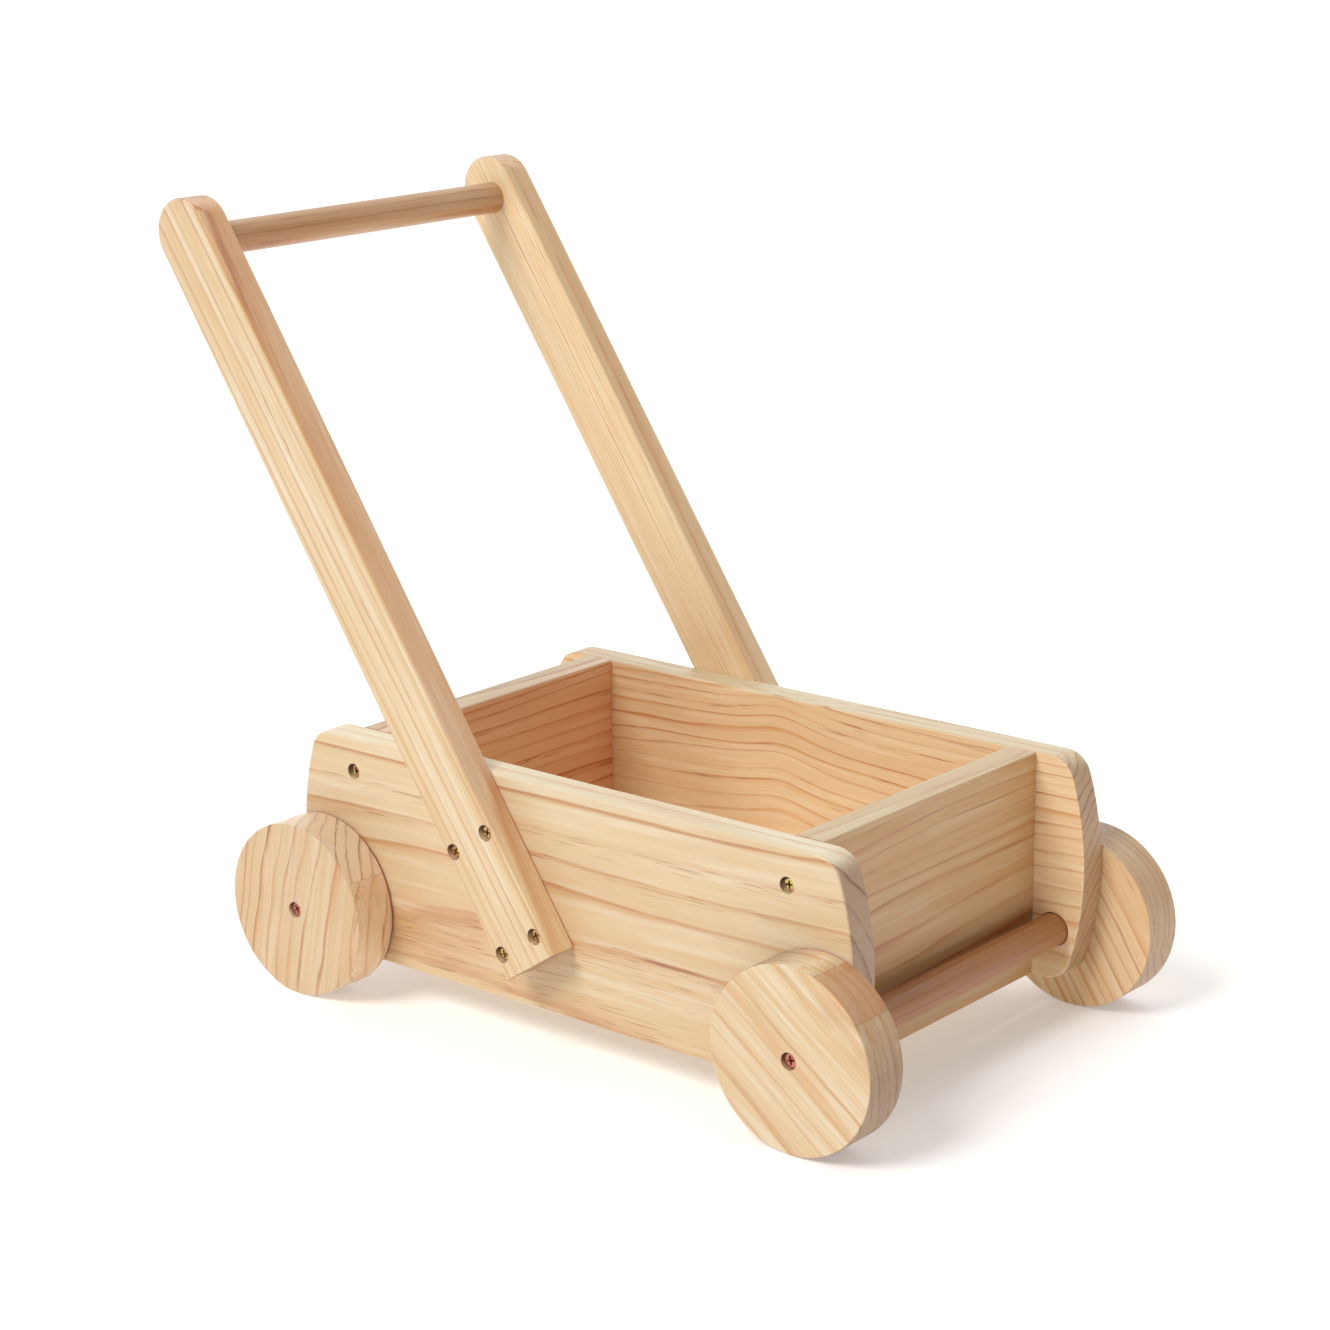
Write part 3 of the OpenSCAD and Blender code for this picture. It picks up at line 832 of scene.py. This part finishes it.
def make_arms():
    outline = [(-ARM_W / 2, 0), (ARM_W / 2, 0)]
    outline += arc((0, arm_reach), ARM_W / 2, 0, math.pi, 2 * ARC_STEPS)
    right = board("right_handle_arm_wood", outline, -board_t, 0, ARM_EDGE_R, back_r=ARM_BACK_R,
                  sawn_end=True, matrix=arm_matrix)
    socket_end = (bar_mid.x, outer_y - BAR_SOCKET, bar_mid.z)
    socket = hole(bar_r + GLUE_GAP, socket_end, -BAR_SOCKET - CUT_SPARE)
    cut(right, [socket] + [pocket(ARM_SCREW, p) for p in arm_screw_places])
    left = link("left_handle_arm_wood", mirrored(right.data, "left_handle_arm_wood"))
    frame_of_arm = arm_matrix.to_3x3()
    near_grain = frame_of_arm @ Vector((-0.014, 0, 1))
    far_grain = frame_of_arm @ Vector((0, 0, 1))
    middle = (arm_low + arm_high) / 2
    arm_pockets = (arm_screw_places, ARM_SCREW["pocket"] * MM)
    near = pine("pine_right_arm", near_grain, (0, -1, 0), middle, (0.09, 0.012), 6.2 * MM, 0.006,
                31.2, uneven=1.6, contrast=0.85, warmth=0.2, streaky=0.6,
                shade=(0.89, 0.90, 0.88), gap_shade_at=-board_t / 2, screws=arm_pockets,
                side_light_and_shade=NEAR_ARM_SIDE_LIGHT,
                side_fade=dict(start=-0.19, end=-0.11, shade=NEAR_ARM_FOOT_LIGHT))
    far_middle = Vector((middle.x, -middle.y, middle.z))
    far = pine("pine_left_arm", far_grain, (0, -1, 0), far_middle, (0.13, 0.02), 2.1 * MM, 0.004,
               44.7, warmth=0.1, shade=(1.0, 1.0, 0.96), gap_shade_at=board_t / 2,
               side_light_and_shade=FAR_ARM_SIDE_LIGHT, screws=arm_pockets)
    finish_piece(right, "truck", "right_handle_arm", near)
    finish_piece(left, "truck", "left_handle_arm", far)


def dowel(name, middle, radius, length, bore_r=0.0, bore_depth=0.0):
    """A turned dowel across the truck, with its ends' edges eased. A bore is the
    hole in each end for a screw."""
    half = length / 2
    end = [(radius, half - DOWEL_EDGE), (radius - DOWEL_EDGE, half)]
    if bore_r:
        end += [(bore_r, half), (bore_r, half - bore_depth)]
    end.append((0, half - bore_depth))
    profile = [(r, -height) for r, height in reversed(end)] + end
    return link(name, lathe(name, profile, facing_right(*middle)))


def make_bar():
    piece = dowel("handle_bar_wood", bar_mid, bar_r, bar_high.y - bar_low.y)
    wood = pine("pine_bar", (0, 1, 0), (1, 0, 0), bar_mid, (0.03, 0.03), 5.0 * MM, 0.012, 51.8,
                warmth=0.1, contrast=1.1, streaky=0.9, shade=BAR_SHADE)
    finish_piece(piece, "truck", "handle_bar", wood)


# ---- Wheels and axles ----

def make_axle(end):
    middle = axles[end + "_wheels"]
    screw_tip = wheel_low.y + (WHEEL_SCREW["sink"] + WHEEL_SCREW["length"]) * MM
    piece = dowel(end + "_axle_wood", middle, (axle_high.z - axle_low.z) / 2,
                  axle_high.y - axle_low.y, bore_r=WHEEL_SCREW["shank"] * MM + GLUE_GAP,
                  bore_depth=screw_tip + BORE_SPARE - axle_low.y)
    wood = pine("pine_" + end + "_axle", (0, 1, 0), (1, 0, 0), middle, (0.02, 0.04), 3.0 * MM, 0.012,
                60.4 + middle.x, warmth=0.3, contrast=1.1, streaky=0.6, shade=DOWEL_SHADE)
    finish_piece(piece, end + "_wheels", end + "_axle", wood)


def wheel_mesh(name, middle):
    """A right wheel: a disc with eased rims, a pocket for its screw and the hole
    that the screw goes through. Its inner face is at wheel_high.y."""
    radius = (wheel_high.z - wheel_low.z) / 2
    thick = wheel_high.y - wheel_low.y
    wide, head, shank, sink = (WHEEL_SCREW[k] * MM for k in ("pocket", "head", "shank", "sink"))
    bore = shank + GLUE_GAP
    seat = thick - sink - HEAD_RIM
    back = WHEEL_BACK_R
    rim = WHEEL_RIM_R
    worn = 0.3 * LIP_R
    profile = [(bore, 0)]
    profile += arc((radius - back, back), back, -math.pi / 2, 0, RIM_STEPS)
    profile += arc((radius - rim, thick - rim), rim, 0, math.pi / 2, RIM_STEPS)
    profile += [(wide + LIP_R, thick), (wide + worn, thick - worn), (wide, thick - LIP_R)]
    profile += [(wide, seat), (head, seat), (bore, seat - head + shank)]
    return lathe(name, profile, facing_right(middle.x, wheel_high.y, middle.z), WHEEL_STEPS)


# Each wheel: how its grain leans on its face, its log and where it is glued. Where a
# wheel sets them, its end colour and narrow-side tone are partly painted light and
# shade on its tread: paler where the tread faces up, darker where it faces down or away.
WHEELS = {
    "front_right": dict(lean=-36, pith=(0.05, 0.10), spacing=5.0 * MM, wobble=0.012, seed=70.3,
                        uneven=1.8, contrast=0.65, streaky=0.9, shade=(0.86, 0.86, 0.83),
                        end_colour=srgb(170, 134, 103), end_contrast=2.4,
                        side_light_and_shade=(0.80, 0.70, 0.62),
                        side_fade=dict(start=-0.024, end=-0.010, shade=(1.15, 1.20, 1.30)),
                        waves=0.003, glued=dict(at=0.0462, shade=(0.95, 0.74, 0.58))),
    "rear_right": dict(lean=79, pith=(-0.075, 0.06), spacing=7.6 * MM, wobble=0.034, seed=83.9,
                       contrast=1.3, shade=(0.81, 0.77, 0.71), end_colour=srgb(246, 226, 199),
                       end_contrast=0.75, side_light_and_shade=(1.28, 1.36, 1.52), waves=0.009,
                       glued=dict(at=-0.0373, shade=(0.97, 0.92, 0.88))),
    "front_left": dict(lean=-56, pith=(0.07, 0.05), spacing=5.0 * MM, wobble=0.010, seed=95.1,
                       contrast=1.2, shade=(1.0, 0.95, 0.88), side_light_and_shade=(0.70, 0.67, 0.64),
                       end_colour=srgb(176, 142, 112), end_contrast=1.5,
                       glued=dict(at=0.035, shade=(0.98, 0.95, 0.92))),
    "rear_left": dict(lean=20, pith=(-0.04, 0.03), spacing=6.0 * MM, wobble=0.012, seed=108.6,
                      shade=(0.95, 0.93, 0.9), glued=dict(at=-0.012, shade=(0.96, 0.94, 0.92))),
}


def make_wheel(corner):
    end, side = corner.split("_")
    middle = axles[end + "_wheels"]
    name = corner + "_wheel_wood"
    mesh = wheel_mesh(name, middle)
    centre = Vector((middle.x, (wheel_low.y + wheel_high.y) / 2, middle.z))
    if side == "left":
        mesh = mirrored(mesh, name)
        centre.y = -centre.y
    facts = dict(WHEELS[corner])
    half = (wheel_high.y - wheel_low.y) / 2
    lean = math.radians(facts.pop("lean"))
    grain = (math.cos(lean), 0, math.sin(lean))
    wood = pine("pine_" + corner + "_wheel", grain, (0, -1, 0), centre, warmth=0.3,
                gap_shade_at=-half if side == "right" else half,
                screws=([middle], WHEEL_SCREW["pocket"] * MM), **facts)
    finish_piece(link(name, mesh), end + "_wheels", corner + "_wheel", wood)


# ---- Screws ----

# The plating: how fine its film and its wear are, and how much rougher wear makes it
FILM_SCALE = (420, 420, 420)
WEAR_SCALE = (2600, 2600, 2600)
WEAR = 0.12


def plated(name, colour, tint, roughness):
    """Plated steel whose film shifts a little in colour over the head."""
    material = bpy.data.materials.new(name)
    material.use_nodes = True
    tree = material.node_tree
    tree.nodes.clear()
    g = Graph(tree)
    place = g.node("ShaderNodeTexCoord").outputs["Object"]
    film = g.noise(g.vector("MULTIPLY", place, FILM_SCALE), detail=2.0)
    wear = g.noise(g.vector("MULTIPLY", place, WEAR_SCALE), detail=3.0)
    shader = g.node("ShaderNodeBsdfPrincipled")
    g.feed(shader.inputs["Base Color"], g.mix(g.step(film, 0.4, 0.6), colour, tint))
    shader.inputs["Metallic"].default_value = 1.0
    g.feed(shader.inputs["Roughness"], g.step(wear, 0.3, 0.7, roughness, roughness + WEAR))
    output = g.node("ShaderNodeOutputMaterial")
    g.feed(output.inputs["Surface"], shader.outputs[0])
    return material


def cross_cutter(reach, depth):
    """The driver's cross, narrowing to its bottom."""
    bm = bmesh.new()
    rings = []
    for z, (part, half) in ((CROSS_ABOVE, CROSS_TOP), (-depth, CROSS_BOTTOM)):
        arm = part * reach
        corner = [Vector((arm, -half)), Vector((arm, half)), Vector((half, half))]
        quarters = [Matrix.Rotation(q * math.pi / 2, 2) for q in range(4)]
        rings.append([bm.verts.new((*(turn @ c), z)) for turn in quarters for c in corner])
    bm.faces.new(rings[0])
    bm.faces.new(list(reversed(rings[1])))
    for i in range(len(rings[0])):
        j = (i + 1) % len(rings[0])
        bm.faces.new((rings[0][j], rings[0][i], rings[1][i], rings[1][j]))
    return from_bmesh("cross", bm)


def screw_mesh(kind):
    """A flat-headed wood screw, its head's top at the origin and its tip down -Z."""
    head, shank, length = (kind[k] * MM for k in ("head", "shank", "length"))
    ease = HEAD_EDGE
    root = shank - THREAD_DEPTH
    start = THREAD_FROM * length
    turns = int((length - start - 2 * shank) / THREAD_PITCH)
    profile = [(0, 0), (head - 2.2 * ease, 0), (head - ease, -0.3 * ease),
               (head - 0.3 * ease, -ease), (head, -2.2 * ease), (head, -HEAD_RIM),
               (root, -HEAD_RIM - head + root)]
    for i in range(turns):
        profile += [(root, -start - i * THREAD_PITCH), (shank, -start - (i + 0.5) * THREAD_PITCH)]
    profile += [(root, 2 * shank - length), (0, -length)]
    screw = link("screw", lathe("screw", profile, Matrix(), steps=SCREW_STEPS))
    cut(screw, [cross_cutter(kind["cross"] * MM, CROSS_DEPTH)])
    mesh = screw.data
    bpy.data.objects.remove(screw)
    return mesh


def make_screws(node, kind, places, body, material, turn, mirror=False):
    """One piece of separate screws, each with its cross turned its own way."""
    bm = bmesh.new()
    source = screw_mesh(kind)
    for i, place in enumerate(places):
        one = source.copy()
        one.transform(facing_right(*place, turn=turn + NEXT_TURN * i))
        bm.from_mesh(one)
    mesh = from_bmesh(node, bm)
    if mirror:
        mesh = mirrored(mesh, node)
    finish_piece(link(node + "_steel", mesh), body, node, material)


def make_all_screws():
    yellow = plated("yellow_zinc", srgb(208, 188, 116), srgb(160, 114, 88), 0.16)
    bronze = plated("pink_bronze", srgb(198, 126, 110), srgb(176, 114, 90), 0.26)
    for side, mirror in (("right", False), ("left", True)):
        make_screws(side + "_arm_screws", ARM_SCREW, arm_screw_places, "truck",
                    yellow, FIRST_TURNS["arm"], mirror)
        for end, places in (("front", front_screw_places), ("rear", rear_screw_places)):
            make_screws(f"{end}_{side}_corner_screws", CORNER_SCREW, places, "truck",
                        yellow, FIRST_TURNS["corner"], mirror)
            middle = axles[end + "_wheels"]
            head = (middle.x, wheel_low.y + WHEEL_SCREW["sink"] * MM, middle.z)
            make_screws(f"{end}_{side}_wheel_screw", WHEEL_SCREW, [head], end + "_wheels",
                        bronze, FIRST_TURNS[end + "_wheel"], mirror)


# ---- Stage ----

def make_stage():
    """A pale floor, and soft studio light from a lamp and the world."""
    bm = bmesh.new()
    bmesh.ops.create_grid(bm, x_segments=1, y_segments=1, size=FLOOR_SIZE)
    ground = link("studio_floor", from_bmesh("studio_floor", bm))
    material = bpy.data.materials.new("studio_floor")
    material.use_nodes = True
    shader = material.node_tree.nodes["Principled BSDF"]
    shader.inputs["Base Color"].default_value = FLOOR_COLOUR
    shader.inputs["Emission Color"].default_value = (1, 1, 1, 1)
    shader.inputs["Emission Strength"].default_value = FLOOR_GLOW
    shader.inputs["Roughness"].default_value = FLOOR_ROUGHNESS
    shader.inputs["Specular IOR Level"].default_value = FLOOR_SPECULAR
    ground.data.materials.append(material)

    world = bpy.data.worlds.new("studio")
    bpy.context.scene.world = world
    world.use_nodes = True
    g = Graph(world.node_tree)
    direction = g.node("ShaderNodeTexCoord").outputs["Generated"]
    behind = g.vector("DOT_PRODUCT", direction, WORLD_BRIGHT_SIDE, out="Value")
    sky = world.node_tree.nodes["Background"]
    g.feed(sky.inputs["Color"], g.mix(g.step(behind, *WORLD_COLOUR_FROM), *WORLD_COLOURS))
    g.feed(sky.inputs["Strength"], g.step(behind, *WORLD_LIGHT_FROM, *WORLD_STRENGTHS))

    sun = bpy.data.lights.new("key", "SUN")
    sun.angle = KEY_SOFTNESS
    sun.energy = KEY_STRENGTH
    lamp = bpy.data.objects.new("key", sun)
    bpy.context.scene.collection.objects.link(lamp)
    lamp.rotation_euler = Vector(KEY_FROM).to_track_quat("Z", "Y").to_euler()


def make_camera():
    """The camera, turned from looking along +Y, raised and rolled."""
    a, e, r = CAMERA_AZIMUTH, CAMERA_ELEVATION, CAMERA_ROLL
    back = Vector((math.sin(a) * math.cos(e), -math.cos(a) * math.cos(e), math.sin(e)))
    level = Vector((math.cos(a), math.sin(a), 0))
    rise = back.cross(level)
    right = level * math.cos(r) + rise * math.sin(r)
    up = rise * math.cos(r) - level * math.sin(r)
    lens = bpy.data.cameras.new("camera")
    lens.sensor_width = SENSOR
    lens.lens = LENS
    camera = bpy.data.objects.new("camera", lens)
    bpy.context.scene.collection.objects.link(camera)
    turn = Matrix((right, up, back)).transposed().to_4x4()
    camera.matrix_world = Matrix.Translation(CAMERA_PLACE) @ turn
    bpy.context.scene.camera = camera


make_camera()
make_stage()
make_side_panels()
make_end_panels()
make_floor()
make_arms()
make_bar()
for end_name in ("front", "rear"):
    make_axle(end_name)
for corner_name in WHEELS:
    make_wheel(corner_name)
make_all_screws()

scene = bpy.context.scene
scene.view_settings.view_transform = "Standard"
